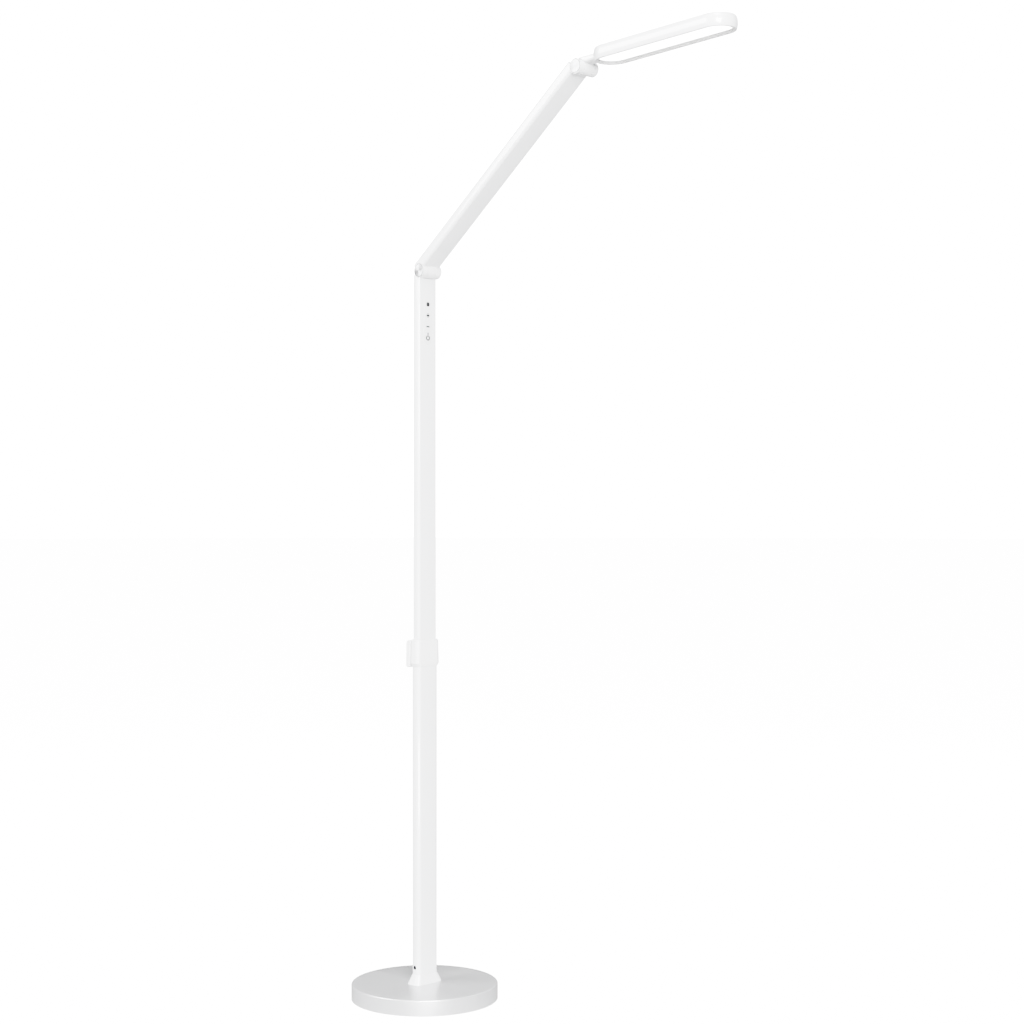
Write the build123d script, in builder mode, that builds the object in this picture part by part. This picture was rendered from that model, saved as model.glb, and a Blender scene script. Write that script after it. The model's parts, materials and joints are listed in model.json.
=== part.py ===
"""Adjustable arm floor lamp: weighted disc base, telescopic post, folding arm and flat light head.

Frame: millimetres, +Z up, origin at the centre of the base's underside. +X runs along both
hinge axes, and the arm reaches out towards -Y, the side that the touch panel faces.
"""
from build123d import *
from math import cos, radians, sin
import os

os.makedirs("parts", exist_ok=True)

# ---------------------------------------------------------------- driving dimensions
# Base
BASE_R = 127.0
BASE_H = 28.0
BASE_EDGE = 2.6
SHELL_T = 2.0
SHELL_LIFT = 1.0
PAD_R = 120.0
PAD_T = 3.0
PLATE_T = 2.5
WEIGHT_R = 105.0
BASE_SCREW_PCD_R = 85.0
BASE_SCREW_R = 2.0
BASE_SCREW_L = 14.0

# Telescopic post: outer tube below, inner tube above
LOWER_W = 46.0
LOWER_D = 19.6
LOWER_CORNER = 7.0
LOWER_WALL = 1.6
UPPER_W = 42.5
UPPER_D = 16.0
UPPER_CORNER = 5.0
UPPER_WALL = 1.4
UPPER_BOTTOM = 524.0
SHOE_H = 30.0
SHOE_FOOT_H = 4.0
SHOE_WALL = 2.5
SHOE_GAP = 0.10

# Foot
FLANGE_MARGIN = 1.3
FLANGE_GAP = 0.2
FLANGE_T = 6.0
FOOT_PLUG_H = 11.0
FOOT_BOLT_R = 3.0
FOOT_BOLT_HEAD_R = 5.4
FOOT_BOLT_HEAD_H = 6.0
FOOT_BOLT_SPACING = 22.0
FOOT_BOLT_GAP = 0.3
FOOT_BOLT_HEAD_GAP = 0.5
FOOT_BOLT_SUNK = 1.0
FOOT_BOLT_SOCKET_R = 2.7
WEIGHT_CHAMFER = 1.5
BOOT_H = 16.0
BOOT_FLARE_W = 8.0
BOOT_FLARE_D = 5.5
BOOT_FOOT_ROUND = 3.0
BOOT_LIP = 0.9

# Power inlet in the lower post's left edge
INLET_Z = 56.0
INLET_BORE_R = 2.75
INLET_NOSE_R = 3.2
INLET_NOSE_PROUD = 0.3
INLET_BEZEL_R = 3.6
INLET_BEZEL_T = 0.6
INLET_BODY_R = 4.0
INLET_BODY_L = 13.0
INLET_PIN_R = 1.05
INLET_PIN_SETBACK = 1.2
INLET_PIN_ROUND = 0.4
INLET_BODY_GAP = 0.2
INLET_BACK_T = 2.0
INLET_CHAMFER = 0.3

# Collar and clamp
COLLAR_BOTTOM = 576.0
COLLAR_H = 46.0
COLLAR_TOP_W = 50.8
COLLAR_TOP_D = 22.0
COLLAR_BOTTOM_W = 53.0
COLLAR_BOTTOM_D = 23.2
COLLAR_CORNER = 7.4
COLLAR_CHAMFER_H = 5.0
COLLAR_SKIRT = 0.8
COLLAR_TOP_CHAMFER = 1.5
COLLAR_TOP_CHAMFER_H = 2.0
COLLAR_SEAT = 28.0
COLLAR_LIP_T = 3.0
COLLAR_LIP_GAP = 0.7
LINER_GAP = 0.10
LINER_FIT = 0.05
LEVER_AXIS_UP = 40.0
LEVER_AXIS_OUT = 15.8
LEVER_HALF_W = 24.5
LEVER_HUB_R = 4.4
LEVER_FACE_GAP = 1.1
LEVER_TAIL_GAP = -2.0
LEVER_BULGE = 5.6
LEVER_TOE = 2.5
LEVER_CORNER = 2.0
LEVER_CAM_R = 5.0
LEVER_CAM_OFFSET = 0.6
LEVER_CAM_SIDE_GAP = 1.0
EAR_INNER = 12.0
EAR_T = 4.0
EAR_R = 4.2
EAR_GAP = 0.4
LEVER_PIN_R = 2.0
LEVER_PIN_SHORT = 0.3
LEVER_PIN_ROUND = 0.4
PAD_BLOCK_W = 16.0
PAD_BLOCK_H = 7.0
PAD_CAM_GAP = 0.3
COLLAR_SCREW_R = 2.0
COLLAR_SCREW_SPACING = 18.0
COLLAR_SCREW_UP = 10.0
COLLAR_SCREW_SHORT = 0.3

# Hinges: both share one design
PIVOT_Z = 1258.7
BARREL_R = 12.1
CENTRE_HALF = 10.0
WASHER_T = 0.8
WASHER_R = 10.5
WASHER_GAP = 0.05
SWEEP_GAP = 0.7
PIN_R = 4.0
PIN_RUNNING_GAP = 0.05
PIN_HEAD_R = 7.0
PIN_HEAD_T = 3.0
NUT_ACROSS = 13.0
NUT_T = 3.2
POCKET_R = 8.0
POCKET_DEPTH = 4.0
CAP_RIM = 0.55
CAP_GAP = 0.8
CAP_SEAT_DEPTH = 1.8
CAP_PROUD = 0.8
CAP_ROUND = 0.6
SHOULDER_GAP = 1.4
FORK_TOP = 7.0
TONGUE_GAP = 1.6
TONGUE_ROUND = 3.0
PLUG_L = 24.0
PLUG_GAP = 0.1
GRUB_R = 1.6
GRUB_L = 4.0
GRUB_SPACING = 22.0
GRUB_BACK = 12.0
GRUB_SUNK = 0.2
GRUB_SOCKET_R = 0.9

# Arm
ARM_L = 470.0
ARM_ELEVATION = 38.35
ARM_W = 42.5
ARM_D = 18.2
ARM_CORNER = 5.0
ARM_WALL = 1.4

# Touch panel and electronics in the upper post
PANEL_Z = 1172.9
PANEL_H = 81.4
PANEL_W = 18.4
PANEL_T = 2.2
PANEL_PROUD = 0.25
PANEL_FIT = 0.05
PANEL_CHAMFER = 0.15
ICON_PITCH = 19.3
ICON_T = 0.12
ICON_STROKE = 2.7
ICON_SIGN_L = 7.6
ICON_DOT_W = 8.0
ICON_DOT_H = 8.0
ICON_DOT_ROUND = 3.4
ICON_RING_R = 5.0
BOARD_W = 28.0
BOARD_H = 84.0
BOARD_T = 1.6
BOARD_SET_BACK = 6.2
CARRIER_T = 2.0
CARRIER_GAP = 0.2
TOUCH_SPRING_R = 3.2
TOUCH_SPRING_T = 0.8
LEAD_R = 1.8

# Light head
HEAD_ELEVATION = 2.5
HEAD_REAR = 31.6
HEAD_L = 271.0
HEAD_W = 62.5
HEAD_H = 20.5
HEAD_DROP = 1.1
HEAD_BULGE = 2.1
HEAD_SECTIONS = 5
HEAD_WALL = 4.1
HEAD_ROOF = 2.4
HEAD_EDGE = 3.0
BEZEL_RIM = 3.0
BEZEL_H = 5.4
BEZEL_SUNK = 0.3
DIFFUSER_T = 2.0
DIFFUSER_LAP = 1.2
HEAT_PLATE_T = 2.0
HEAT_PLATE_GAP = 1.0
LED_BOARD_T = 1.4
LED_BOARD_MARGIN = 7.0
LED_BOARD_REAR = 36.0
LED_SIZE = 3.4
LED_T = 0.7
LED_ROWS = 3
LED_COLUMNS = 14
LED_PITCH_X = 13.0
LED_PITCH_Y = 14.5
LED_SCREW_FROM_END = 50.0
LED_SCREW_R = 1.2
LED_SCREW_HEAD_R = 2.4
LED_SCREW_HEAD_T = 1.2
NECK_W = 26.0
NECK_LOW = 5.2
NECK_HIGH = 15.2
NECK_CORNER = 3.6
NECK_REACH = 3.8
NECK_WEB_INSET = 1.0
TANG_W = 18.0
TANG_T = 6.0
TANG_L = 28.0
NECK_SCREW_PITCH = 12.0
NECK_SCREW_R = 1.5
NECK_SCREW_HEAD_R = 2.8
NECK_SCREW_HEAD_T = 1.2
HEAD_LEAD_L = 30.0
HEAD_LEAD_START = 10.1
HEAD_LEAD_DROP = 2.2
HEAD_LEAD_SIDE = 12.0

# ---------------------------------------------------------------- derived places
TUBE_START = BASE_H + FLANGE_T
TUBE_END = COLLAR_BOTTOM + COLLAR_SEAT
COLLAR_TOP = COLLAR_BOTTOM + COLLAR_H
FLANGE_W = LOWER_W + 2 * FLANGE_MARGIN
FLANGE_D = LOWER_D + 2 * FLANGE_MARGIN
SHOULDER = BARREL_R + SHOULDER_GAP
TONGUE_END = FORK_TOP - TONGUE_GAP
CAP_SEAT_R = BARREL_R - CAP_RIM
CAP_R = CAP_SEAT_R - CAP_GAP
LOWER_IN_W = LOWER_W - 2 * LOWER_WALL
LOWER_IN_D = LOWER_D - 2 * LOWER_WALL
LOWER_IN_CORNER = LOWER_CORNER - LOWER_WALL
UPPER_IN_W = UPPER_W - 2 * UPPER_WALL
UPPER_IN_D = UPPER_D - 2 * UPPER_WALL
UPPER_IN_CORNER = UPPER_CORNER - UPPER_WALL
POST_FRONT = -UPPER_D / 2
LOWER_PIVOT = Vector(0, POST_FRONT, PIVOT_Z)
UPRIGHT = 90.0
EAR_START = CENTRE_HALF + WASHER_T + WASHER_GAP
LEVER_AXIS_Z = COLLAR_BOTTOM + LEVER_AXIS_UP
PLATE_Z = PAD_T
WEIGHT_Z = PAD_T + PLATE_T
WEIGHT_H = BASE_H - SHELL_T - WEIGHT_Z


def along(elevation):
    """Unit vector of a member that rises towards the front at this angle."""
    return Vector(0, -cos(radians(elevation)), sin(radians(elevation)))


def across(elevation):
    """Unit vector at right angles to the member, towards its back or upper face."""
    return Vector(0, sin(radians(elevation)), cos(radians(elevation)))


def place(pivot, elevation, distance, offset=0.0):
    """Point at a distance along a member from its pivot, and offset towards its back."""
    return pivot + along(elevation) * distance + across(elevation) * offset


def section_plane(pivot, elevation, distance, offset=0.0):
    """Plane square to a member: x along the hinge axis, y towards the member's back."""
    return Plane(
        origin=place(pivot, elevation, distance, offset), x_dir=(1, 0, 0), z_dir=along(elevation)
    )


def side_plane(pivot, elevation):
    """Middle plane of a member: x along the member, y towards its back."""
    return Plane(origin=pivot, x_dir=along(elevation), z_dir=(-1, 0, 0))


def axis_plane(pivot, x=0.0, facing=1):
    """Plane square to the hinge axis at a given x, facing outwards along it."""
    return Plane(origin=pivot + Vector(x, 0, 0), x_dir=(0, 1, 0), z_dir=(facing, 0, 0))


UPPER_PIVOT = place(LOWER_PIVOT, ARM_ELEVATION, ARM_L)


def save(node, label):
    """Label a finished piece and write it as its own STEP file."""
    node.part.label = label
    export_step(node.part, f"parts/{label}.step")


def bar(plane, width, depth, corner, length, mode=Mode.ADD):
    """Rounded rectangular bar standing on a plane."""
    with BuildSketch(plane) as profile:
        RectangleRounded(width, depth, corner)
    extrude(profile.sketch, amount=length, mode=mode)


def disc(plane, radius, length, mode=Mode.ADD):
    """Round bar standing on a plane."""
    with BuildSketch(plane) as profile:
        Circle(radius)
    extrude(profile.sketch, amount=length, mode=mode)


def barrel(pivot, radius, half, mode=Mode.ADD):
    """Round bar centred on a pivot, along its axis."""
    with BuildSketch(axis_plane(pivot)) as profile:
        Circle(radius)
    extrude(profile.sketch, amount=half, both=True, mode=mode)


# ================================================================ base
with BuildPart() as base_pad:
    disc(Plane.XY, PAD_R, PAD_T)
save(base_pad, "base_pad")

with BuildPart() as base_plate:
    disc(Plane.XY.offset(PLATE_Z), BASE_R - SHELL_T, PLATE_T)
    with Locations(Plane(origin=(0, 0, PLATE_Z), x_dir=(1, 0, 0), z_dir=(0, 0, -1))):
        with PolarLocations(BASE_SCREW_PCD_R, 4, start_angle=45):
            CounterSinkHole(BASE_SCREW_R, BASE_SCREW_R * 2, PLATE_T)
        with GridLocations(FOOT_BOLT_SPACING, 0, 2, 1):
            Hole(FOOT_BOLT_HEAD_R + FOOT_BOLT_HEAD_GAP)
save(base_plate, "base_plate")

with BuildPart() as base_screws:
    with PolarLocations(BASE_SCREW_PCD_R, 4, start_angle=45):
        with Locations((0, 0, PLATE_Z + BASE_SCREW_L / 2)):
            Cylinder(BASE_SCREW_R, BASE_SCREW_L)
        with Locations((0, 0, PLATE_Z + BASE_SCREW_R / 2)):
            Cone(BASE_SCREW_R * 2, BASE_SCREW_R, BASE_SCREW_R)
save(base_screws, "base_screws")

with BuildPart() as base_weight:
    disc(Plane.XY.offset(WEIGHT_Z), WEIGHT_R, WEIGHT_H)
    chamfer(base_weight.edges().filter_by(GeomType.CIRCLE), WEIGHT_CHAMFER)
    with PolarLocations(BASE_SCREW_PCD_R, 4, start_angle=45):
        with Locations((0, 0, WEIGHT_Z + BASE_SCREW_L / 2)):
            Cylinder(BASE_SCREW_R, BASE_SCREW_L, mode=Mode.SUBTRACT)
    with Locations(Plane(origin=(0, 0, WEIGHT_Z), x_dir=(1, 0, 0), z_dir=(0, 0, -1))):
        with GridLocations(FOOT_BOLT_SPACING, 0, 2, 1):
            CounterBoreHole(
                FOOT_BOLT_R + FOOT_BOLT_GAP,
                FOOT_BOLT_HEAD_R + FOOT_BOLT_HEAD_GAP,
                FOOT_BOLT_SUNK + FOOT_BOLT_HEAD_H,
            )
save(base_weight, "base_weight")

with BuildPart() as base_shell:
    disc(Plane.XY.offset(SHELL_LIFT), BASE_R, BASE_H - SHELL_LIFT)
    fillet(base_shell.faces().sort_by(Axis.Z)[-1].edges(), BASE_EDGE)
    disc(Plane.XY.offset(SHELL_LIFT), BASE_R - SHELL_T, BASE_H - SHELL_LIFT - SHELL_T, Mode.SUBTRACT)
    with Locations((0, 0, BASE_H)):
        with GridLocations(FOOT_BOLT_SPACING, 0, 2, 1):
            Hole(FOOT_BOLT_R + FOOT_BOLT_GAP, depth=SHELL_T)
save(base_shell, "base_shell")

with BuildPart() as foot_block:
    bar(Plane.XY.offset(BASE_H), FLANGE_W, FLANGE_D, LOWER_CORNER, FLANGE_T)
    bar(
        Plane.XY.offset(TUBE_START),
        LOWER_IN_W - 2 * PLUG_GAP,
        LOWER_IN_D - 2 * PLUG_GAP,
        LOWER_IN_CORNER,
        FOOT_PLUG_H,
    )
    with GridLocations(FOOT_BOLT_SPACING, 0, 2, 1):
        Hole(FOOT_BOLT_R)
save(foot_block, "foot_block")

FOOT_BOLT_Z = WEIGHT_Z + FOOT_BOLT_SUNK
FOOT_BOLT_TOP = TUBE_START + FOOT_PLUG_H
with BuildPart() as foot_bolts:
    with GridLocations(FOOT_BOLT_SPACING, 0, 2, 1):
        with Locations((0, 0, (FOOT_BOLT_Z + FOOT_BOLT_TOP) / 2)):
            Cylinder(FOOT_BOLT_R, FOOT_BOLT_TOP - FOOT_BOLT_Z)
        with Locations((0, 0, FOOT_BOLT_Z + FOOT_BOLT_HEAD_H / 2)):
            Cylinder(FOOT_BOLT_HEAD_R, FOOT_BOLT_HEAD_H)
    with BuildSketch(Plane.XY.offset(FOOT_BOLT_Z)):
        with GridLocations(FOOT_BOLT_SPACING, 0, 2, 1):
            RegularPolygon(FOOT_BOLT_SOCKET_R, 6)
    extrude(amount=FOOT_BOLT_HEAD_H / 2, mode=Mode.SUBTRACT)
save(foot_bolts, "foot_bolts")

with BuildPart() as foot_boot:
    with BuildSketch(Plane.XY.offset(BASE_H)):
        RectangleRounded(
            LOWER_W + 2 * BOOT_FLARE_W, LOWER_D + 2 * BOOT_FLARE_D, LOWER_CORNER + BOOT_FOOT_ROUND
        )
    with BuildSketch(Plane.XY.offset(BASE_H + BOOT_H)):
        RectangleRounded(LOWER_W + 2 * BOOT_LIP, LOWER_D + 2 * BOOT_LIP, LOWER_CORNER + BOOT_LIP)
    loft()
    bar(Plane.XY.offset(BASE_H), LOWER_W, LOWER_D, LOWER_CORNER, BOOT_H, Mode.SUBTRACT)
    bar(
        Plane.XY.offset(BASE_H),
        FLANGE_W + 2 * FLANGE_GAP,
        FLANGE_D + 2 * FLANGE_GAP,
        LOWER_CORNER,
        FLANGE_T,
        Mode.SUBTRACT,
    )
save(foot_boot, "foot_boot")

# ================================================================ lower post and power inlet
with BuildPart() as lower_post:
    bar(Plane.XY.offset(TUBE_START), LOWER_W, LOWER_D, LOWER_CORNER, TUBE_END - TUBE_START)
    bar(
        Plane.XY.offset(TUBE_START),
        LOWER_IN_W,
        LOWER_IN_D,
        LOWER_IN_CORNER,
        TUBE_END - TUBE_START,
        Mode.SUBTRACT,
    )
    disc(axis_plane(Vector(-LOWER_W / 2, 0, INLET_Z)), INLET_NOSE_R, LOWER_WALL, Mode.SUBTRACT)
    for side in (-1, 1):
        with Locations((side * COLLAR_SCREW_SPACING / 2, LOWER_D / 2, COLLAR_BOTTOM + COLLAR_SCREW_UP)):
            Cylinder(COLLAR_SCREW_R, LOWER_WALL * 2, rotation=(90, 0, 0), mode=Mode.SUBTRACT)
save(lower_post, "lower_post")

INLET_X = -LOWER_W / 2 - INLET_BEZEL_T
INLET_NOSE_L = INLET_BEZEL_T + LOWER_WALL + INLET_NOSE_PROUD
with BuildPart() as inlet_bezel:
    disc(axis_plane(Vector(INLET_X, 0, INLET_Z)), INLET_BEZEL_R, INLET_BEZEL_T)
    chamfer(inlet_bezel.edges().group_by(Axis.X)[0], INLET_CHAMFER)
    disc(axis_plane(Vector(INLET_X, 0, INLET_Z)), INLET_NOSE_R, INLET_NOSE_L)
    disc(axis_plane(Vector(INLET_X, 0, INLET_Z)), INLET_BORE_R, INLET_NOSE_L, Mode.SUBTRACT)
save(inlet_bezel, "inlet_bezel")

INLET_BODY_X = INLET_X + INLET_NOSE_L
with BuildPart() as power_inlet:
    disc(axis_plane(Vector(INLET_BODY_X, 0, INLET_Z)), INLET_BODY_R, INLET_BODY_L)
    disc(
        axis_plane(Vector(INLET_BODY_X, 0, INLET_Z)),
        INLET_BORE_R + INLET_BODY_GAP,
        INLET_BODY_L - INLET_BACK_T,
        Mode.SUBTRACT,
    )
    disc(
        axis_plane(Vector(INLET_BODY_X + INLET_BODY_L - INLET_BACK_T, 0, INLET_Z)),
        INLET_PIN_R,
        INLET_BACK_T,
        Mode.SUBTRACT,
    )
save(power_inlet, "power_inlet")

with BuildPart() as inlet_pin:
    disc(
        axis_plane(Vector(INLET_BODY_X + INLET_PIN_SETBACK, 0, INLET_Z)),
        INLET_PIN_R,
        INLET_BODY_L - INLET_PIN_SETBACK + INLET_BACK_T,
    )
    fillet(inlet_pin.edges().group_by(Axis.X)[0], INLET_PIN_ROUND)
save(inlet_pin, "inlet_pin")

# ================================================================ collar and clamp lever
EAR_OUTER = EAR_INNER + EAR_T
EAR_REACH = LEVER_AXIS_OUT - LOWER_D / 2
LEVER_AXIS = Vector(0, LEVER_AXIS_OUT, LEVER_AXIS_Z)
COLLAR_SCREW_Z = COLLAR_BOTTOM + COLLAR_SCREW_UP


def collar_loft(low, low_size, high, high_size):
    """Tapered length of the collar between two heights; a size is width, depth and corner."""
    with BuildSketch(Plane.XY.offset(low)) as low_profile:
        RectangleRounded(*low_size)
    with BuildSketch(Plane.XY.offset(high)) as high_profile:
        RectangleRounded(*high_size)
    loft([low_profile.sketch, high_profile.sketch])


with BuildPart() as collar_body:
    skirt = (LOWER_W + 2 * COLLAR_SKIRT, LOWER_D + 2 * COLLAR_SKIRT, LOWER_CORNER + COLLAR_SKIRT)
    wide = (COLLAR_BOTTOM_W, COLLAR_BOTTOM_D, COLLAR_CORNER)
    narrow = (COLLAR_TOP_W, COLLAR_TOP_D, COLLAR_CORNER)
    brim = (
        COLLAR_TOP_W - 2 * COLLAR_TOP_CHAMFER,
        COLLAR_TOP_D - 2 * COLLAR_TOP_CHAMFER,
        COLLAR_CORNER - COLLAR_TOP_CHAMFER,
    )
    collar_loft(COLLAR_BOTTOM, skirt, COLLAR_BOTTOM + COLLAR_CHAMFER_H, wide)
    collar_loft(COLLAR_BOTTOM + COLLAR_CHAMFER_H, wide, COLLAR_TOP - COLLAR_TOP_CHAMFER_H, narrow)
    collar_loft(COLLAR_TOP - COLLAR_TOP_CHAMFER_H, narrow, COLLAR_TOP, brim)
    # Lever ears on the back, joined to the collar's wall
    for side in (-1, 1):
        with BuildSketch(axis_plane(LEVER_AXIS, side * EAR_INNER, side)):
            Circle(EAR_R)
            with Locations((-EAR_REACH / 2, 0)):
                Rectangle(EAR_REACH, 2 * EAR_R)
        extrude(amount=EAR_T)
    # Seat on the lower tube, pocket for the liner and window for the clamp pad
    bar(
        Plane.XY.offset(COLLAR_BOTTOM),
        LOWER_W,
        LOWER_D,
        LOWER_CORNER,
        COLLAR_H - COLLAR_LIP_T,
        Mode.SUBTRACT,
    )
    bar(
        Plane.XY.offset(COLLAR_BOTTOM),
        UPPER_W + 2 * COLLAR_LIP_GAP,
        UPPER_D + 2 * COLLAR_LIP_GAP,
        UPPER_CORNER + COLLAR_LIP_GAP,
        COLLAR_H,
        Mode.SUBTRACT,
    )
    with Locations((0, COLLAR_TOP_D / 2, LEVER_AXIS_Z)):
        Box(PAD_BLOCK_W, COLLAR_TOP_D / 2, PAD_BLOCK_H, mode=Mode.SUBTRACT)
    barrel(LEVER_AXIS, LEVER_PIN_R, EAR_OUTER, Mode.SUBTRACT)
    with Locations((0, COLLAR_BOTTOM_D / 2, COLLAR_SCREW_Z)):
        with GridLocations(COLLAR_SCREW_SPACING, 0, 2, 1):
            Cylinder(COLLAR_SCREW_R, COLLAR_BOTTOM_D / 2, rotation=(90, 0, 0), mode=Mode.SUBTRACT)
save(collar_body, "collar_body")

LINER_H = COLLAR_H - COLLAR_LIP_T - COLLAR_SEAT
with BuildPart() as collar_liner:
    bar(
        Plane.XY.offset(TUBE_END),
        LOWER_W - 2 * LINER_FIT,
        LOWER_D - 2 * LINER_FIT,
        LOWER_CORNER,
        LINER_H,
    )
    bar(
        Plane.XY.offset(TUBE_END),
        UPPER_W + 2 * LINER_GAP,
        UPPER_D + 2 * LINER_GAP,
        UPPER_CORNER + LINER_GAP,
        LINER_H,
        Mode.SUBTRACT,
    )
    with Locations((0, LOWER_D / 2, LEVER_AXIS_Z)):
        Box(PAD_BLOCK_W, LOWER_D / 2, PAD_BLOCK_H, mode=Mode.SUBTRACT)
save(collar_liner, "collar_liner")

PAD_BACK = LEVER_AXIS_OUT - LEVER_CAM_R - LEVER_CAM_OFFSET - PAD_CAM_GAP
PAD_FACE = UPPER_D / 2 + LINER_GAP
with BuildPart() as clamp_pad:
    with Locations((0, (PAD_BACK + PAD_FACE) / 2, LEVER_AXIS_Z)):
        Box(PAD_BLOCK_W, PAD_BACK - PAD_FACE, PAD_BLOCK_H)
save(clamp_pad, "clamp_pad")

COLLAR_SCREW_L = (COLLAR_BOTTOM_D - LOWER_IN_D) / 2 - 2 * COLLAR_SCREW_SHORT
COLLAR_SCREW_Y = (COLLAR_BOTTOM_D + LOWER_IN_D) / 4 - COLLAR_SCREW_SHORT
with BuildPart() as collar_screws:
    with Locations((0, COLLAR_SCREW_Y, COLLAR_SCREW_Z)):
        with GridLocations(COLLAR_SCREW_SPACING, 0, 2, 1):
            Cylinder(COLLAR_SCREW_R, COLLAR_SCREW_L, rotation=(90, 0, 0))
save(collar_screws, "collar_screws")

with BuildPart() as lever_pin:
    barrel(LEVER_AXIS, LEVER_PIN_R, LEVER_HALF_W - LEVER_PIN_SHORT)
    fillet(lever_pin.edges().filter_by(GeomType.CIRCLE), LEVER_PIN_ROUND)
save(lever_pin, "lever_pin")

# The lever's side outline is measured from its pin: x upwards, y away from the post
LEVER_TAIL = LEVER_AXIS_UP - LEVER_TAIL_GAP
LEVER_FACE = COLLAR_BOTTOM_D / 2 + LEVER_FACE_GAP - LEVER_AXIS_OUT
EAR_SLOT_DEPTH = EAR_R + EAR_GAP + LEVER_HUB_R
with BuildPart() as clamp_lever:
    with BuildSketch(side_plane(LEVER_AXIS, UPRIGHT)):
        Circle(LEVER_HUB_R)
        with BuildLine():
            Polyline(
                (0, LEVER_HUB_R),
                (0, LEVER_FACE),
                (-LEVER_TAIL + LEVER_TOE, LEVER_FACE),
                (-LEVER_TAIL, LEVER_FACE + LEVER_TOE),
                (-LEVER_TAIL, LEVER_BULGE - LEVER_TOE),
                (-LEVER_TAIL + LEVER_TOE, LEVER_BULGE),
                (0, LEVER_HUB_R),
            )
        make_face()
    extrude(amount=LEVER_HALF_W, both=True)
    fillet(clamp_lever.edges().group_by(Axis.Z)[0], LEVER_CORNER)
    # Slots for the collar's ears, open at the top so that the lever can swing out
    for side in (-1, 1):
        with Locations(LEVER_AXIS + Vector(side * (EAR_INNER + EAR_T / 2), 0, 0)):
            with Locations((0, 0, LEVER_HUB_R - EAR_SLOT_DEPTH / 2)):
                Box(EAR_T + 2 * EAR_GAP, 4 * LEVER_HUB_R, EAR_SLOT_DEPTH, mode=Mode.SUBTRACT)
    with BuildSketch(side_plane(LEVER_AXIS, UPRIGHT)):
        with Locations((0, -LEVER_CAM_OFFSET)):
            Circle(LEVER_CAM_R)
    extrude(amount=PAD_BLOCK_W / 2 - LEVER_CAM_SIDE_GAP, both=True)
    barrel(LEVER_AXIS, LEVER_PIN_R + PIN_RUNNING_GAP, LEVER_HALF_W, Mode.SUBTRACT)
save(clamp_lever, "clamp_lever")


# ================================================================ hinge castings and hardware
def fork_end(pivot, elevation, width, depth, corner, wall):
    """End casting that plugs into a tube and carries the hinge's two outer knuckles."""
    middle = depth / 2
    bar(
        section_plane(pivot, elevation, -SHOULDER - PLUG_L, middle),
        width - 2 * wall - 2 * PLUG_GAP,
        depth - 2 * wall - 2 * PLUG_GAP,
        corner - wall,
        PLUG_L,
    )
    bar(section_plane(pivot, elevation, -SHOULDER, middle), width, depth, corner, SHOULDER - FORK_TOP)
    barrel(pivot, BARREL_R, width / 2)
    barrel(pivot, BARREL_R + SWEEP_GAP, EAR_START, Mode.SUBTRACT)
    barrel(pivot, PIN_R, width / 2, Mode.SUBTRACT)
    for side in (-1, 1):
        disc(
            axis_plane(pivot, side * width / 2, -side),
            CAP_SEAT_R,
            CAP_SEAT_DEPTH,
            Mode.SUBTRACT,
        )
        disc(
            axis_plane(pivot, side * width / 2, -side),
            POCKET_R,
            CAP_SEAT_DEPTH + POCKET_DEPTH,
            Mode.SUBTRACT,
        )
    grub_holes(pivot, elevation, -SHOULDER - GRUB_BACK, depth)


def grub_holes(pivot, elevation, distance, depth):
    """Pair of blind screw holes from a member's back face into its plug."""
    plane = Plane(
        origin=place(pivot, elevation, distance, depth - GRUB_L),
        x_dir=(1, 0, 0),
        z_dir=across(elevation),
    )
    with BuildSketch(plane) as profile:
        with GridLocations(GRUB_SPACING, 0, 2, 1):
            Circle(GRUB_R)
    extrude(profile.sketch, amount=GRUB_L * 2, mode=Mode.SUBTRACT)


def grub_screws(pivot, elevation, distance, depth):
    """Pair of hexagon-socket set screws that hold a casting in its tube."""
    plane = Plane(
        origin=place(pivot, elevation, distance, depth - GRUB_L),
        x_dir=(1, 0, 0),
        z_dir=across(elevation),
    )
    with BuildSketch(plane) as profile:
        with GridLocations(GRUB_SPACING, 0, 2, 1):
            Circle(GRUB_R)
    extrude(profile.sketch, amount=GRUB_L - GRUB_SUNK)
    with BuildSketch(plane.offset(GRUB_L / 2)) as profile:
        with GridLocations(GRUB_SPACING, 0, 2, 1):
            RegularPolygon(GRUB_SOCKET_R, 6)
    extrude(profile.sketch, amount=GRUB_L, mode=Mode.SUBTRACT)


def hollow_member(pivot, elevation, start, end, width, depth, corner, wall):
    """Rectangular tube with its front face through the hinge axis."""
    plane = section_plane(pivot, elevation, start, depth / 2)
    bar(plane, width, depth, corner, end - start)
    bar(plane, width - 2 * wall, depth - 2 * wall, corner - wall, end - start, Mode.SUBTRACT)


def hinge_pin(pivot, half):
    """Shouldered pin with a flat head in the left pocket and a plain end for the nut."""
    floor = half - CAP_SEAT_DEPTH - POCKET_DEPTH
    disc(axis_plane(pivot, -floor), PIN_R, 2 * floor + NUT_T)
    disc(axis_plane(pivot, -floor - PIN_HEAD_T), PIN_HEAD_R, PIN_HEAD_T)


def hinge_nut(pivot, half):
    """Hexagon lock nut in the right pocket."""
    with BuildSketch(axis_plane(pivot, half - CAP_SEAT_DEPTH - POCKET_DEPTH)) as profile:
        RegularPolygon(NUT_ACROSS / 2, 6, major_radius=False)
        Circle(PIN_R, mode=Mode.SUBTRACT)
    extrude(profile.sketch, amount=NUT_T)


def hinge_washers(pivot):
    """Friction washers between the centre knuckle and the outer ones."""
    for side in (-1, 1):
        with BuildSketch(axis_plane(pivot, side * (EAR_START - WASHER_T), side)) as profile:
            Circle(WASHER_R)
            Circle(PIN_R, mode=Mode.SUBTRACT)
        extrude(profile.sketch, amount=WASHER_T)


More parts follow.
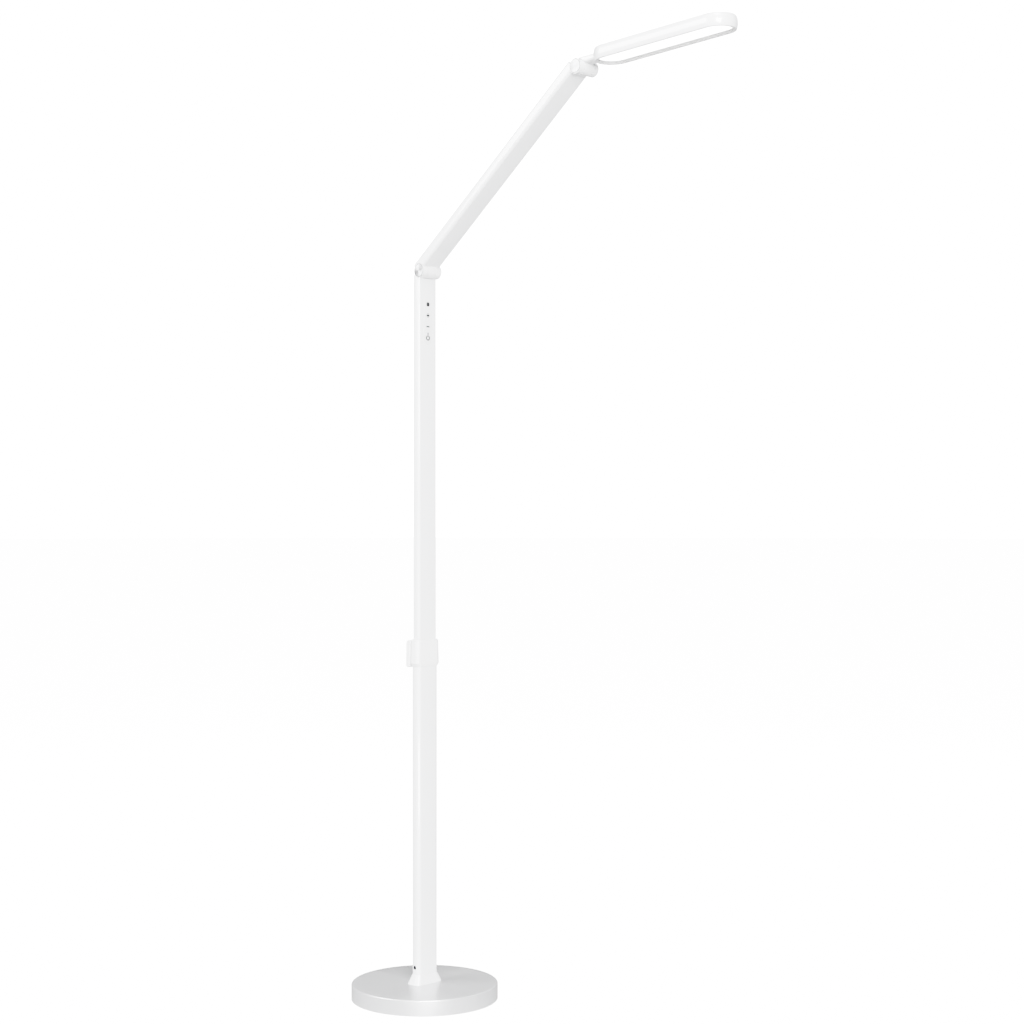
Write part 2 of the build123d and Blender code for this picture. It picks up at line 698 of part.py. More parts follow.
def hinge_caps(pivot, half):
    """Pair of turned end caps, each seated in its knuckle and standing slightly proud."""
    for side in (-1, 1):
        seat = axis_plane(pivot, side * (half - CAP_SEAT_DEPTH), side)
        disc(seat, CAP_R, CAP_SEAT_DEPTH + CAP_PROUD)


# ================================================================ upper post
POST_TOP = PIVOT_Z - SHOULDER
PANEL_FRONT = Plane(origin=(0, POST_FRONT - PANEL_PROUD, PANEL_Z), x_dir=(1, 0, 0), z_dir=(0, 1, 0))
with BuildPart() as upper_post:
    bar(Plane.XY.offset(UPPER_BOTTOM), UPPER_W, UPPER_D, UPPER_CORNER, POST_TOP - UPPER_BOTTOM)
    bar(
        Plane.XY.offset(UPPER_BOTTOM),
        UPPER_IN_W,
        UPPER_IN_D,
        UPPER_IN_CORNER,
        POST_TOP - UPPER_BOTTOM,
        Mode.SUBTRACT,
    )
    with BuildSketch(PANEL_FRONT):
        SlotOverall(PANEL_H + 2 * PANEL_FIT, PANEL_W + 2 * PANEL_FIT, rotation=90)
    extrude(amount=UPPER_D / 4, mode=Mode.SUBTRACT)
    grub_holes(LOWER_PIVOT, UPRIGHT, -SHOULDER - GRUB_BACK, UPPER_D)
save(upper_post, "upper_post")

with BuildPart() as slide_shoe:
    bar(
        Plane.XY.offset(UPPER_BOTTOM - SHOE_FOOT_H),
        LOWER_IN_W - 2 * SHOE_GAP,
        LOWER_IN_D - 2 * SHOE_GAP,
        LOWER_IN_CORNER - SHOE_GAP,
        SHOE_FOOT_H,
    )
    bar(
        Plane.XY.offset(UPPER_BOTTOM),
        UPPER_IN_W - 2 * PLUG_GAP,
        UPPER_IN_D - 2 * PLUG_GAP,
        UPPER_IN_CORNER,
        SHOE_H - SHOE_FOOT_H,
    )
    bar(
        Plane.XY.offset(UPPER_BOTTOM - SHOE_FOOT_H),
        UPPER_IN_W - 2 * SHOE_WALL,
        UPPER_IN_D - 2 * SHOE_WALL,
        UPPER_IN_CORNER / 2,
        SHOE_H,
        Mode.SUBTRACT,
    )
save(slide_shoe, "slide_shoe")

with BuildPart() as touch_panel:
    with BuildSketch(PANEL_FRONT):
        SlotOverall(PANEL_H, PANEL_W, rotation=90)
    extrude(amount=PANEL_T)
    chamfer(touch_panel.faces().sort_by(Axis.Y)[0].edges(), PANEL_CHAMFER)
save(touch_panel, "touch_panel")

ICON_PLANE = Plane(
    origin=(0, POST_FRONT - PANEL_PROUD, PANEL_Z), x_dir=(1, 0, 0), z_dir=(0, -1, 0)
)
with BuildPart() as touch_icons:
    with BuildSketch(ICON_PLANE):
        with Locations((0, 1.5 * ICON_PITCH)):
            RectangleRounded(ICON_DOT_W, ICON_DOT_H, ICON_DOT_ROUND)
        with Locations((0, 0.5 * ICON_PITCH)):
            Rectangle(ICON_SIGN_L, ICON_STROKE)
            Rectangle(ICON_STROKE, ICON_SIGN_L)
        with Locations((0, -0.5 * ICON_PITCH)):
            Rectangle(ICON_SIGN_L, ICON_STROKE)
        with Locations((0, -1.5 * ICON_PITCH)):
            Circle(ICON_RING_R)
            Circle(ICON_RING_R - ICON_STROKE, mode=Mode.SUBTRACT)
        with Locations((0, -1.5 * ICON_PITCH + ICON_RING_R)):
            Rectangle(2 * ICON_STROKE, 2 * ICON_STROKE, mode=Mode.SUBTRACT)
            Rectangle(ICON_STROKE, 3 * ICON_STROKE)
    extrude(amount=ICON_T)
save(touch_icons, "touch_icons")

PANEL_REAR = POST_FRONT - PANEL_PROUD + PANEL_T
BOARD_FRONT = POST_FRONT + BOARD_SET_BACK
with BuildPart() as touch_springs:
    for row in (-1.5, -0.5, 0.5, 1.5):
        with BuildSketch(Plane(origin=(0, PANEL_REAR, PANEL_Z + row * ICON_PITCH), z_dir=(0, 1, 0))):
            Circle(TOUCH_SPRING_R)
            Circle(TOUCH_SPRING_R - TOUCH_SPRING_T, mode=Mode.SUBTRACT)
        extrude(amount=BOARD_FRONT - PANEL_REAR)
save(touch_springs, "touch_springs")

with BuildPart() as control_board:
    with Locations((0, BOARD_FRONT + BOARD_T / 2, PANEL_Z)):
        Box(BOARD_W, BOARD_T, BOARD_H)
save(control_board, "control_board")

BOARD_BACK = BOARD_FRONT + BOARD_T
CONTROLLER = (7.0, 1.2, 7.0)
INDUCTOR = (4.0, 2.0, 6.0)
CONNECTOR = (9.0, 2.5, 5.0)
CAPACITOR_R = 3.2
CAPACITOR_T = 3.0
with BuildPart() as board_chips:
    for (width, thickness, height), x, up in (
        (CONTROLLER, 0, BOARD_H / 4),
        (INDUCTOR, BOARD_W / 5, 0),
        (CONNECTOR, BOARD_W / 6, -0.38 * BOARD_H),
    ):
        with Locations((x, BOARD_BACK + thickness / 2, PANEL_Z + up)):
            Box(width, thickness, height)
    with Locations((-BOARD_W / 4, BOARD_BACK + CAPACITOR_T / 2, PANEL_Z - BOARD_H / 6)):
        Cylinder(CAPACITOR_R, CAPACITOR_T, rotation=(90, 0, 0))
save(board_chips, "board_chips")

with BuildPart() as board_carrier:
    with Locations((0, BOARD_FRONT + BOARD_T / 2, PANEL_Z)):
        Box(UPPER_IN_W - 2 * CARRIER_GAP, CARRIER_T * 2, BOARD_H + 2 * CARRIER_T)
        Box(BOARD_W - 2 * CARRIER_T, CARRIER_T * 3, BOARD_H - 2 * CARRIER_T, mode=Mode.SUBTRACT)
        Box(BOARD_W, BOARD_T, BOARD_H, mode=Mode.SUBTRACT)
save(board_carrier, "board_carrier")

with BuildPart() as post_hinge_block:
    fork_end(LOWER_PIVOT, UPRIGHT, UPPER_W, UPPER_D, UPPER_CORNER, UPPER_WALL)
save(post_hinge_block, "post_hinge_block")

with BuildPart() as post_screws:
    grub_screws(LOWER_PIVOT, UPRIGHT, -SHOULDER - GRUB_BACK, UPPER_D)
save(post_screws, "post_screws")

# ================================================================ arm
with BuildPart() as arm_tube:
    hollow_member(
        LOWER_PIVOT, ARM_ELEVATION, SHOULDER, ARM_L - SHOULDER, ARM_W, ARM_D, ARM_CORNER, ARM_WALL
    )
    grub_holes(LOWER_PIVOT, ARM_ELEVATION, SHOULDER + GRUB_BACK, ARM_D)
    grub_holes(UPPER_PIVOT, ARM_ELEVATION, -SHOULDER - GRUB_BACK, ARM_D)
save(arm_tube, "arm_tube")

with BuildPart() as arm_root_knuckle:
    bar(
        section_plane(LOWER_PIVOT, ARM_ELEVATION, -TONGUE_END, ARM_D / 2),
        ARM_W,
        ARM_D,
        ARM_CORNER,
        SHOULDER + TONGUE_END,
    )
    end_face = arm_root_knuckle.faces().sort_by(Axis(LOWER_PIVOT, along(ARM_ELEVATION)))[0]
    fillet(end_face.edges().sort_by(Axis(LOWER_PIVOT, across(ARM_ELEVATION)))[-1], TONGUE_ROUND)
    barrel(LOWER_PIVOT, BARREL_R + SWEEP_GAP, ARM_W, Mode.SUBTRACT)
    barrel(LOWER_PIVOT, BARREL_R, CENTRE_HALF)
    with BuildSketch(side_plane(LOWER_PIVOT, ARM_ELEVATION)):
        with Locations((SHOULDER / 2, ARM_D / 4)):
            Rectangle(SHOULDER, ARM_D / 2)
    extrude(amount=CENTRE_HALF, both=True)
    bar(
        section_plane(LOWER_PIVOT, ARM_ELEVATION, SHOULDER, ARM_D / 2),
        ARM_W - 2 * ARM_WALL - 2 * PLUG_GAP,
        ARM_D - 2 * ARM_WALL - 2 * PLUG_GAP,
        ARM_CORNER - ARM_WALL,
        PLUG_L,
    )
    barrel(LOWER_PIVOT, PIN_R + PIN_RUNNING_GAP, ARM_W, Mode.SUBTRACT)
    grub_holes(LOWER_PIVOT, ARM_ELEVATION, SHOULDER + GRUB_BACK, ARM_D)
save(arm_root_knuckle, "arm_root_knuckle")

with BuildPart() as arm_tip_knuckle:
    fork_end(UPPER_PIVOT, ARM_ELEVATION, ARM_W, ARM_D, ARM_CORNER, ARM_WALL)
save(arm_tip_knuckle, "arm_tip_knuckle")

with BuildPart() as arm_screws:
    grub_screws(LOWER_PIVOT, ARM_ELEVATION, SHOULDER + GRUB_BACK, ARM_D)
    grub_screws(UPPER_PIVOT, ARM_ELEVATION, -SHOULDER - GRUB_BACK, ARM_D)
save(arm_screws, "arm_screws")

for pivot, half, name in ((LOWER_PIVOT, UPPER_W / 2, "lower"), (UPPER_PIVOT, ARM_W / 2, "upper")):
    with BuildPart() as pin:
        hinge_pin(pivot, half)
    save(pin, f"{name}_hinge_pin")
    with BuildPart() as nut:
        hinge_nut(pivot, half)
    save(nut, f"{name}_hinge_nut")
    with BuildPart() as washers:
        hinge_washers(pivot)
    save(washers, f"{name}_hinge_washers")
    with BuildPart() as caps:
        hinge_caps(pivot, half)
        rims = caps.edges().sort_by(Axis.X)
        fillet([rims[0], rims[-1]], CAP_ROUND)
    save(caps, f"{name}_hinge_caps")

# Two-core leads inside the tubes, clear of the end castings
with BuildPart() as post_lead:
    disc(
        Plane.XY.offset(UPPER_BOTTOM + SHOE_H),
        LEAD_R,
        PANEL_Z - BOARD_H / 2 - 2 * CARRIER_T - UPPER_BOTTOM - SHOE_H,
    )
save(post_lead, "post_lead")

with BuildPart() as arm_lead:
    disc(
        section_plane(LOWER_PIVOT, ARM_ELEVATION, SHOULDER + PLUG_L, ARM_D / 2),
        LEAD_R,
        ARM_L - 2 * (SHOULDER + PLUG_L),
    )
save(arm_lead, "arm_lead")

# ================================================================ light head
# Heights in the head are measured square to it from the upper hinge axis
HEAD_MID = HEAD_REAR + HEAD_L / 2
HEAD_TOP = HEAD_H - HEAD_DROP
ROOF_UNDER = HEAD_TOP - HEAD_ROOF
BEZEL_TOP = BEZEL_H - HEAD_DROP
BOARD_UNDER = ROOF_UNDER - HEAT_PLATE_T - LED_BOARD_T


def head_plane(height):
    """Plane parallel to the head's roof: x along the head from its middle, y along the hinge axis."""
    return Plane(
        origin=place(UPPER_PIVOT, HEAD_ELEVATION, HEAD_MID, height),
        x_dir=along(HEAD_ELEVATION),
        z_dir=across(HEAD_ELEVATION),
    )


def head_slab(height, inset, thickness, mode=Mode.ADD):
    """Stadium slab inset evenly from the head's outline."""
    with BuildSketch(head_plane(height)) as profile:
        SlotOverall(HEAD_L - 2 * inset, HEAD_W - 2 * inset)
    extrude(profile.sketch, amount=thickness, mode=mode)


def screw_row(height, middle, pitch_x, pitch_y, count_y, radius, thickness, mode=Mode.ADD):
    """Screw shanks, heads or holes in the head, two along it and one or two across."""
    with BuildSketch(head_plane(height)) as profile:
        with Locations((middle, 0)):
            with GridLocations(pitch_x, pitch_y, 2, count_y):
                Circle(radius)
    extrude(profile.sketch, amount=thickness, mode=mode)


def led_screw_row(height, radius, thickness, mode=Mode.ADD):
    """The four screws or holes that hold the lamp board to the heat plate."""
    pitch = HEAD_L - 2 * LED_SCREW_FROM_END
    screw_row(height, LED_BOARD_REAR / 2, pitch, LED_PITCH_Y, 2, radius, thickness, mode)


def neck_screw_row(height, radius, thickness, mode=Mode.ADD):
    """The two screws or holes that hold the heat plate to the neck's tang."""
    screw_row(height, TANG_MID - HEAD_MID, NECK_SCREW_PITCH, 0, 1, radius, thickness, mode)


NECK_END = HEAD_REAR + NECK_REACH
TANG_UNDER = ROOF_UNDER - HEAT_PLATE_T - TANG_T
TANG_MID = HEAD_REAR + HEAD_WALL + TANG_L / 2
with BuildPart() as head_housing:
    # The side wall bulges evenly round the whole outline
    for step in range(HEAD_SECTIONS):
        share = step / (HEAD_SECTIONS - 1)
        inset = HEAD_BULGE * (2 * share - 1) ** 2
        with BuildSketch(head_plane(HEAD_H * share - HEAD_DROP)):
            SlotOverall(HEAD_L - 2 * inset, HEAD_W - 2 * inset)
    loft()
    roof = head_housing.faces().sort_by(Axis(UPPER_PIVOT, across(HEAD_ELEVATION)))[-1]
    fillet(roof.edges(), HEAD_EDGE)
    head_slab(-HEAD_DROP, HEAD_WALL, HEAD_H - HEAD_ROOF, Mode.SUBTRACT)
    bar(
        section_plane(UPPER_PIVOT, HEAD_ELEVATION, 0, (NECK_LOW + NECK_HIGH) / 2),
        NECK_W,
        NECK_HIGH - NECK_LOW,
        NECK_CORNER,
        HEAD_REAR + 2 * HEAD_WALL,
        Mode.SUBTRACT,
    )
save(head_housing, "head_housing")

with BuildPart() as head_bezel:
    head_slab(BEZEL_SUNK - HEAD_DROP, HEAD_WALL, BEZEL_H - BEZEL_SUNK)
    head_slab(BEZEL_SUNK - HEAD_DROP, HEAD_WALL + BEZEL_RIM, BEZEL_H, Mode.SUBTRACT)
save(head_bezel, "head_bezel")

with BuildPart() as diffuser:
    head_slab(BEZEL_TOP, HEAD_WALL + BEZEL_RIM - DIFFUSER_LAP, DIFFUSER_T)
save(diffuser, "diffuser")

with BuildPart() as heat_plate:
    head_slab(ROOF_UNDER - HEAT_PLATE_T, HEAD_WALL + HEAT_PLATE_GAP, HEAT_PLATE_T)
    neck_screw_row(ROOF_UNDER - HEAT_PLATE_T, NECK_SCREW_R, HEAT_PLATE_T, Mode.SUBTRACT)
    led_screw_row(ROOF_UNDER - HEAT_PLATE_T, LED_SCREW_R, HEAT_PLATE_T, Mode.SUBTRACT)
save(heat_plate, "heat_plate")

with BuildPart() as led_board:
    head_slab(BOARD_UNDER, LED_BOARD_MARGIN, LED_BOARD_T)
    with BuildSketch(head_plane(BOARD_UNDER)):
        with Locations((-HEAD_L / 2, 0)):
            Rectangle(2 * LED_BOARD_REAR, HEAD_W)
    extrude(amount=LED_BOARD_T, mode=Mode.SUBTRACT)
    led_screw_row(BOARD_UNDER, LED_SCREW_R, LED_BOARD_T, Mode.SUBTRACT)
save(led_board, "led_board")

with BuildPart() as led_chips:
    with BuildSketch(head_plane(BOARD_UNDER - LED_T)):
        with Locations((LED_BOARD_REAR / 2, 0)):
            with GridLocations(LED_PITCH_X, LED_PITCH_Y, LED_COLUMNS, LED_ROWS):
                Rectangle(LED_SIZE, LED_SIZE)
    extrude(amount=LED_T)
save(led_chips, "led_chips")

with BuildPart() as led_screws:
    led_screw_row(BOARD_UNDER, LED_SCREW_R, LED_BOARD_T + HEAT_PLATE_T)
    led_screw_row(BOARD_UNDER - LED_SCREW_HEAD_T, LED_SCREW_HEAD_R, LED_SCREW_HEAD_T)
save(led_screws, "led_screws")

with BuildPart() as head_neck:
    bar(
        section_plane(UPPER_PIVOT, HEAD_ELEVATION, 0, (NECK_LOW + NECK_HIGH) / 2),
        NECK_W,
        NECK_HIGH - NECK_LOW,
        NECK_CORNER,
        NECK_END,
    )
    barrel(UPPER_PIVOT, BARREL_R + SWEEP_GAP, NECK_W, Mode.SUBTRACT)
    barrel(UPPER_PIVOT, BARREL_R, CENTRE_HALF)
    with BuildSketch(side_plane(UPPER_PIVOT, HEAD_ELEVATION)):
        with Locations((SHOULDER / 2, (NECK_LOW + NECK_HIGH) / 2)):
            Rectangle(SHOULDER, NECK_HIGH - NECK_LOW - 2 * NECK_WEB_INSET)
    extrude(amount=CENTRE_HALF, both=True)
    with BuildSketch(
        section_plane(UPPER_PIVOT, HEAD_ELEVATION, HEAD_REAR, TANG_UNDER + TANG_T / 2)
    ):
        Rectangle(TANG_W, TANG_T)
    extrude(amount=HEAD_WALL + TANG_L)
    barrel(UPPER_PIVOT, PIN_R + PIN_RUNNING_GAP, NECK_W, Mode.SUBTRACT)
    neck_screw_row(TANG_UNDER, NECK_SCREW_R, TANG_T, Mode.SUBTRACT)
save(head_neck, "head_neck")

with BuildPart() as neck_screws:
    neck_screw_row(TANG_UNDER, NECK_SCREW_R, TANG_T + HEAT_PLATE_T)
    neck_screw_row(TANG_UNDER - NECK_SCREW_HEAD_T, NECK_SCREW_HEAD_R, NECK_SCREW_HEAD_T)
save(neck_screws, "neck_screws")

HEAD_LEAD_PLANE = section_plane(
    UPPER_PIVOT,
    HEAD_ELEVATION,
    HEAD_REAR + HEAD_LEAD_START,
    BOARD_UNDER - HEAD_LEAD_DROP,
)
with BuildPart() as head_lead:
    with BuildSketch(HEAD_LEAD_PLANE):
        with Locations((HEAD_LEAD_SIDE, 0)):
            Circle(LEAD_R / 2)
    extrude(amount=HEAD_LEAD_L)
save(head_lead, "head_lead")
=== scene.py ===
"""Looks of the adjustable arm floor lamp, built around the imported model. Lengths are metres."""

import json
import math

import bmesh
import bpy
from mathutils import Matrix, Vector


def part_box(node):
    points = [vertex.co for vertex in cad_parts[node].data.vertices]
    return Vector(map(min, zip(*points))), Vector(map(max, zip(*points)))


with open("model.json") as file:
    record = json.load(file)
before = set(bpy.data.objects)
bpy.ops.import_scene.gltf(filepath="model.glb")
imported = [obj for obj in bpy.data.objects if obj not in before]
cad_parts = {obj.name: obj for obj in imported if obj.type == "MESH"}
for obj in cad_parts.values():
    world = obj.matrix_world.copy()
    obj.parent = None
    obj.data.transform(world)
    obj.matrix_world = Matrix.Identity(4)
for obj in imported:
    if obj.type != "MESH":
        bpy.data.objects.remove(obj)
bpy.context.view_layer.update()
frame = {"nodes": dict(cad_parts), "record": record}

# ---------------------------------------------------------------- settings
# The camera is level. It looks at the post's axis from this side, then steps to its own right.
CAMERA_AZIMUTH = -45.0  # degrees round the post from -Y; negative is towards -X
CAMERA_DISTANCE = 3.290
CAMERA_HEIGHT = 0.8425
CAMERA_SIDE_STEP = 0.1513
CAMERA_LENS = 66.7  # mm
CAMERA_SENSOR = 36.0  # mm
CAMERA_CLIP = (0.05, 100.0)

# Meshes: vertices that coincide are joined, and edges sharper than this stay crisp
WELD_DISTANCE = 0.000005
CREASE_ANGLE = 28.0  # degrees

# Stage
FLOOR_RADIUS = 60.0
FLOOR_SIDES = 96
BOUNCE_DEPTH = 0.002
FLOOR_GLOW = 15.0
BOUNCE_GLOW = 0.7
BACKDROP_GLOW = 24.0
ROOM_GLOW = 0.4
DIFFUSER_GLOW = 22.0

# Soft lights: name, place, point that it faces, width, height and power in watts
SOFTBOXES = (
    ("key", (-2.2, -3.0, 1.8), (0, 0, 0.9), 1.7, 1.5, 860.0),
    ("left", (-2.4, 1.2, 2.2), (0, -0.1, 1.2), 1.7, 1.4, 330.0),
    ("top", (-1.3, -1.7, 3.6), (0, -0.1, 1.0), 1.4, 1.4, 260.0),
    ("back", (2.9, 0.4, 2.6), (0, -0.1, 0.9), 1.6, 1.6, 70.0),
    ("foot", (-1.1, -1.25, 0.14), (0, 0, 0.02), 1.0, 0.22, 62.0),
)


# ---------------------------------------------------------------- material helpers
def dimmed(tone, share):
    """The same colour at a share of its brightness."""
    return tuple(channel * share for channel in tone)


class Tree:
    """Small wrapper round one material's node tree."""

    def __init__(self, name):
        self.material = bpy.data.materials.new(name)
        self.material.use_nodes = True
        self.nodes = self.material.node_tree.nodes
        self.links = self.material.node_tree.links
        self.shader = self.nodes["Principled BSDF"]
        self.coords = self.nodes.new("ShaderNodeTexCoord").outputs["Object"]

    def set(self, **values):
        """Set plain values on the shader, such as Roughness=0.4."""
        for name, value in values.items():
            self.shader.inputs[name.replace("_", " ")].default_value = value

    def feed(self, name, source):
        """Drive one of the shader's inputs from a node's output."""
        self.links.new(source, self.shader.inputs[name])

    def mapped(self, **values):
        """Object coordinates moved or stretched, such as Scale=(1, 1, 4)."""
        mapping = self.nodes.new("ShaderNodeMapping")
        for name, value in values.items():
            mapping.inputs[name].default_value = value
        self.links.new(self.coords, mapping.inputs["Vector"])
        return mapping.outputs["Vector"]

    def noise(self, scale, detail=3.0, stretch=(1, 1, 1)):
        """Noise value at a scale per metre, stretched along the axes."""
        noise = self.nodes.new("ShaderNodeTexNoise")
        noise.inputs["Scale"].default_value = scale
        noise.inputs["Detail"].default_value = detail
        self.links.new(self.mapped(Scale=stretch), noise.inputs["Vector"])
        return noise.outputs["Fac"]

    def ramp(self, value, low, high, start=0.3, stop=0.7):
        """Colour or grey that runs from low to high as value runs from start to stop."""
        ramp = self.nodes.new("ShaderNodeValToRGB")
        for element, place, tone in zip(ramp.color_ramp.elements, (start, stop), (low, high)):
            element.position = place
            element.color = (*tone, 1) if isinstance(tone, tuple) else (tone, tone, tone, 1)
        self.links.new(value, ramp.inputs["Fac"])
        return ramp.outputs["Color"]

    def bump(self, height, strength, distance):
        """Adds a bump layer on top of those already there."""
        bump = self.nodes.new("ShaderNodeBump")
        bump.inputs["Strength"].default_value = strength
        bump.inputs["Distance"].default_value = distance
        self.links.new(height, bump.inputs["Height"])
        normal = self.shader.inputs["Normal"]
        if normal.is_linked:
            self.links.new(normal.links[0].from_socket, bump.inputs["Normal"])
        self.links.new(bump.outputs["Normal"], normal)


def painted(name, tone, roughness, peel=0.5, coat=1.0, metallic=0.0):
    """Powder-coated metal: faint orange peel, soft cloudiness and uneven sheen."""
    tree = Tree(name)
    tree.set(Coat_Weight=coat, Coat_Roughness=0.10, Coat_IOR=1.6, IOR=1.5, Metallic=metallic)
    clouds = tree.noise(14.0, detail=4.0)
    tree.feed("Base Color", tree.ramp(clouds, dimmed(tone, 0.972), tone))
    sheen = tree.noise(45.0, detail=5.0)
    tree.feed("Roughness", tree.ramp(sheen, roughness * 0.88, roughness * 1.14))
    tree.bump(tree.noise(950.0, detail=2.0), 0.22 * peel, 0.00006)
    tree.bump(tree.noise(5200.0, detail=1.0), 0.12 * peel, 0.00002)
    return tree.material


def moulded(name, tone, roughness, grain=1.0):
    """Injection-moulded plastic with a fine spark-eroded grain."""
    tree = Tree(name)
    tree.set(IOR=1.47)
    tree.feed("Base Color", tree.ramp(tree.noise(30.0), dimmed(tone, 0.95), tone))
    tree.feed("Roughness", tree.ramp(tree.noise(260.0), roughness * 0.85, roughness * 1.15))
    tree.bump(tree.noise(3200.0, detail=2.0), 0.25 * grain, 0.00003)
    return tree.material


def metal(name, tone, roughness, stretch=(1, 1, 1)):
    """Plain machined or plated metal with fine directional scratches."""
    tree = Tree(name)
    tree.set(Metallic=1.0)
    stains = tree.noise(80.0, detail=4.0)
    tree.feed("Base Color", tree.ramp(stains, dimmed(tone, 0.86), tone))
    scratches = tree.noise(900.0, detail=4.0, stretch=stretch)
    tree.feed("Roughness", tree.ramp(scratches, roughness * 0.8, roughness * 1.25))
    tree.bump(scratches, 0.12, 0.00002)
    return tree.material


def turned(name, centre):
    """Face-turned aluminium: circular tool marks about a centre, which fan the highlights."""
    tree = Tree(name)
    tree.set(Metallic=1.0, Anisotropic=0.82)
    rings = tree.nodes.new("ShaderNodeTexWave")
    rings.wave_type = "RINGS"
    rings.rings_direction = "X"
    rings.inputs["Scale"].default_value = 620.0
    rings.inputs["Distortion"].default_value = 0.4
    rings.inputs["Detail Scale"].default_value = 3.0
    tree.links.new(tree.mapped(Location=-centre), rings.inputs["Vector"])
    tangent = tree.nodes.new("ShaderNodeTangent")
    tangent.direction_type = "RADIAL"
    tangent.axis = "X"
    tree.feed("Tangent", tangent.outputs["Tangent"])
    marks = rings.outputs["Fac"]
    tree.feed("Base Color", tree.ramp(marks, (0.42, 0.43, 0.44), (0.60, 0.60, 0.61)))
    tree.feed("Roughness", tree.ramp(tree.noise(300.0), 0.36, 0.46))
    tree.bump(marks, 0.10, 0.00002)
    return tree.material


def glowing(name):
    """Opal acrylic lit from behind: nearly even light with faint cloudiness."""
    tree = Tree(name)
    tree.set(Base_Color=(0.95, 0.95, 0.94, 1), Emission_Strength=DIFFUSER_GLOW, IOR=1.49)
    clouds = tree.noise(38.0, detail=1.0)
    tree.feed("Emission Color", tree.ramp(clouds, (0.97, 0.975, 0.98), (1.0, 1.0, 1.0)))
    tree.feed("Roughness", tree.ramp(tree.noise(400.0, detail=2.0), 0.24, 0.34))
    tree.bump(tree.noise(1800.0, detail=2.0), 0.08, 0.00002)
    return tree.material


def cast_iron(name):
    """Rough sand-cast iron with a dull oxide skin."""
    tree = Tree(name)
    tree.set(Metallic=0.6)
    oxide = tree.noise(60.0, detail=6.0)
    tree.feed("Base Color", tree.ramp(oxide, (0.09, 0.085, 0.08), (0.19, 0.185, 0.18)))
    tree.feed("Roughness", tree.ramp(tree.noise(200.0, detail=4.0), 0.6, 0.85))
    tree.bump(tree.noise(420.0, detail=6.0), 0.6, 0.0004)
    return tree.material


# ---------------------------------------------------------------- materials by the record's slots
MATERIALS = {
    "white_paint": painted("white_powder_coat", (0.80, 0.81, 0.82), 0.40),
    "white_cast": painted("white_cast_coat", (0.85, 0.855, 0.86), 0.42, peel=0.8),
    "base_paint": painted(
        "base_satin_coat", (0.70, 0.705, 0.72), 0.36, peel=0.1, coat=0.25, metallic=0.6
    ),
    "white_plastic": moulded("white_plastic", (0.80, 0.80, 0.80), 0.45),
    "panel": moulded("gloss_panel", (0.74, 0.745, 0.755), 0.14, grain=0.15),
    "icon_ink": moulded("icon_ink", (0.008, 0.008, 0.009), 0.6),
    "steel": metal("zinc_steel", (0.62, 0.62, 0.63), 0.32),
    "iron": cast_iron("cast_iron"),
    "dark_rubber": moulded("pad_foam", (0.035, 0.035, 0.035), 0.85, grain=3.0),
    "black_plastic": moulded("black_plastic", (0.018, 0.018, 0.02), 0.38),
    "nylon": moulded("natural_nylon", (0.70, 0.70, 0.67), 0.5),
    "board": moulded("solder_mask", (0.02, 0.14, 0.06), 0.3),
    "chip": moulded("chip_epoxy", (0.03, 0.03, 0.03), 0.55),
    "led": moulded("lamp_resin", (0.90, 0.78, 0.35), 0.25),
    "diffuser": glowing("lit_opal_acrylic"),
    "raw_aluminium": metal("mill_aluminium", (0.76, 0.77, 0.78), 0.36, stretch=(1, 0.06, 1)),
    "brass": metal("plated_brass", (0.80, 0.62, 0.30), 0.25),
    "lead": moulded("lead_jacket", (0.75, 0.75, 0.74), 0.5),
}
TURNED_SLOT = "spun_aluminium"  # each pair of caps has rings about its own centre

nodes = frame["nodes"]
slot_of = {entry["node"]: entry["material_slot"] for entry in frame["record"]["subparts"]}
slot_of["lever_pin"] = "white_cast"  # its ends are painted over with the collar


def material_of(name):
    """The material for a node, from its slot in the record."""
    if slot_of[name] == TURNED_SLOT:
        low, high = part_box(name)
        return turned(name + "_turned", (low + high) / 2)
    return MATERIALS[slot_of[name]]


for name, node in nodes.items():
    material = material_of(name)
    node.data.materials.clear()
    node.data.materials.append(material)
    for polygon in node.data.polygons:
        polygon.use_smooth = True
    weld = node.modifiers.new("weld", "WELD")
    weld.merge_threshold = WELD_DISTANCE
    split = node.modifiers.new("creases", "EDGE_SPLIT")
    split.split_angle = math.radians(CREASE_ANGLE)

# The lit sheet is seen, but it doesn't flood the head's own rim with light
nodes["diffuser"].visible_diffuse = False
nodes["diffuser"].visible_glossy = False


# ---------------------------------------------------------------- floor, backdrop and lights
def disc(name, height, glow):
    """Large pale floor disc that also glows evenly, as a lit studio floor does."""
    mesh = bpy.data.meshes.new(name)
    shape = bmesh.new()
    bmesh.ops.create_circle(shape, cap_ends=True, segments=FLOOR_SIDES, radius=FLOOR_RADIUS)
    shape.to_mesh(mesh)
    shape.free()
    obj = bpy.data.objects.new(name, mesh)
    obj.location.z = height
    bpy.context.scene.collection.objects.link(obj)
    tree = Tree(name)
    tree.set(
        Base_Color=(0.9, 0.9, 0.9, 1),
        Roughness=0.9,
        Specular_IOR_Level=0.1,
        Emission_Color=(1, 1, 1, 1),
        Emission_Strength=glow,
    )
    mesh.materials.append(tree.material)
    return obj


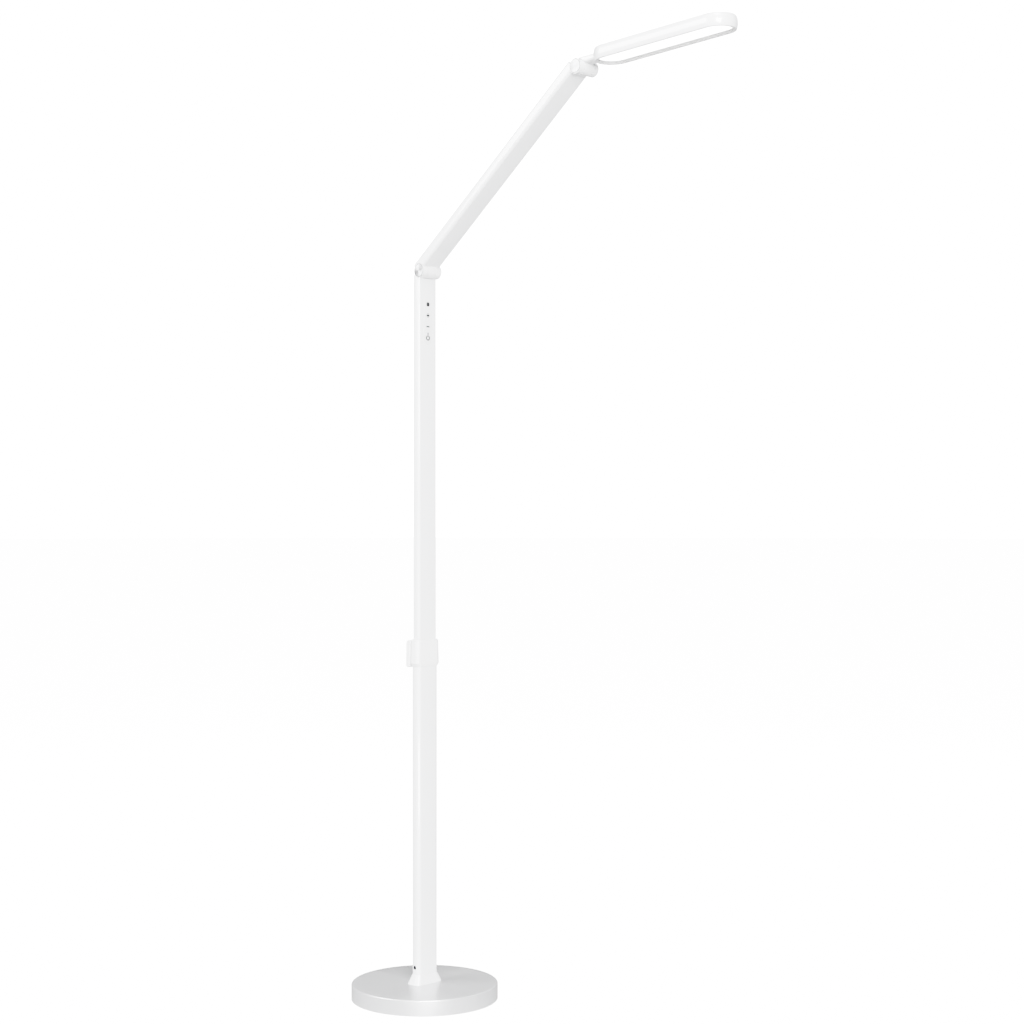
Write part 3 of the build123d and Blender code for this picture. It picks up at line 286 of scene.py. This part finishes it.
def backdrop(name, seen_glow, room_glow):
    """White world that is bright to the camera and dim to the lamp's surfaces."""
    world = bpy.data.worlds.new(name)
    bpy.context.scene.world = world
    world.use_nodes = True
    tree = world.node_tree
    seen = tree.nodes.new("ShaderNodeLightPath").outputs["Is Camera Ray"]
    strength = tree.nodes.new("ShaderNodeMapRange")
    strength.inputs["To Min"].default_value = room_glow
    strength.inputs["To Max"].default_value = seen_glow
    tree.links.new(seen, strength.inputs["Value"])
    background = tree.nodes["Background"]
    background.inputs["Color"].default_value = (1, 1, 1, 1)
    tree.links.new(strength.outputs["Result"], background.inputs["Strength"])


def softbox(name, place, target, width, height, power):
    """Rectangular area light that faces a target."""
    lamp = bpy.data.lights.new(name, "AREA")
    lamp.shape = "RECTANGLE"
    lamp.size = width
    lamp.size_y = height
    lamp.energy = power
    light = bpy.data.objects.new(name, lamp)
    light.location = place
    light.rotation_euler = (Vector(target) - Vector(place)).to_track_quat("-Z", "Y").to_euler()
    light.visible_camera = False
    bpy.context.scene.collection.objects.link(light)


# The floor that is seen is overlit white; the one below it lights the lamp from underneath
floor = disc("floor", 0.0, FLOOR_GLOW)
floor.visible_diffuse = False
floor.visible_glossy = False
bounce = disc("floor_bounce", -BOUNCE_DEPTH, BOUNCE_GLOW)
bounce.visible_camera = False

backdrop("studio", BACKDROP_GLOW, ROOM_GLOW)
for settings in SOFTBOXES:
    softbox(*settings)

# ---------------------------------------------------------------- camera
azimuth = math.radians(CAMERA_AZIMUTH)
outward = Vector((math.sin(azimuth), -math.cos(azimuth), 0))
right = Vector((math.cos(azimuth), math.sin(azimuth), 0))
lens = bpy.data.cameras.new("camera")
lens.lens = CAMERA_LENS
lens.sensor_width = CAMERA_SENSOR
lens.clip_start, lens.clip_end = CAMERA_CLIP
camera = bpy.data.objects.new("camera", lens)
camera.location = (
    outward * CAMERA_DISTANCE + right * CAMERA_SIDE_STEP + Vector((0, 0, CAMERA_HEIGHT))
)
camera.rotation_euler = (-outward).to_track_quat("-Z", "Y").to_euler()
bpy.context.scene.collection.objects.link(camera)
bpy.context.scene.camera = camera
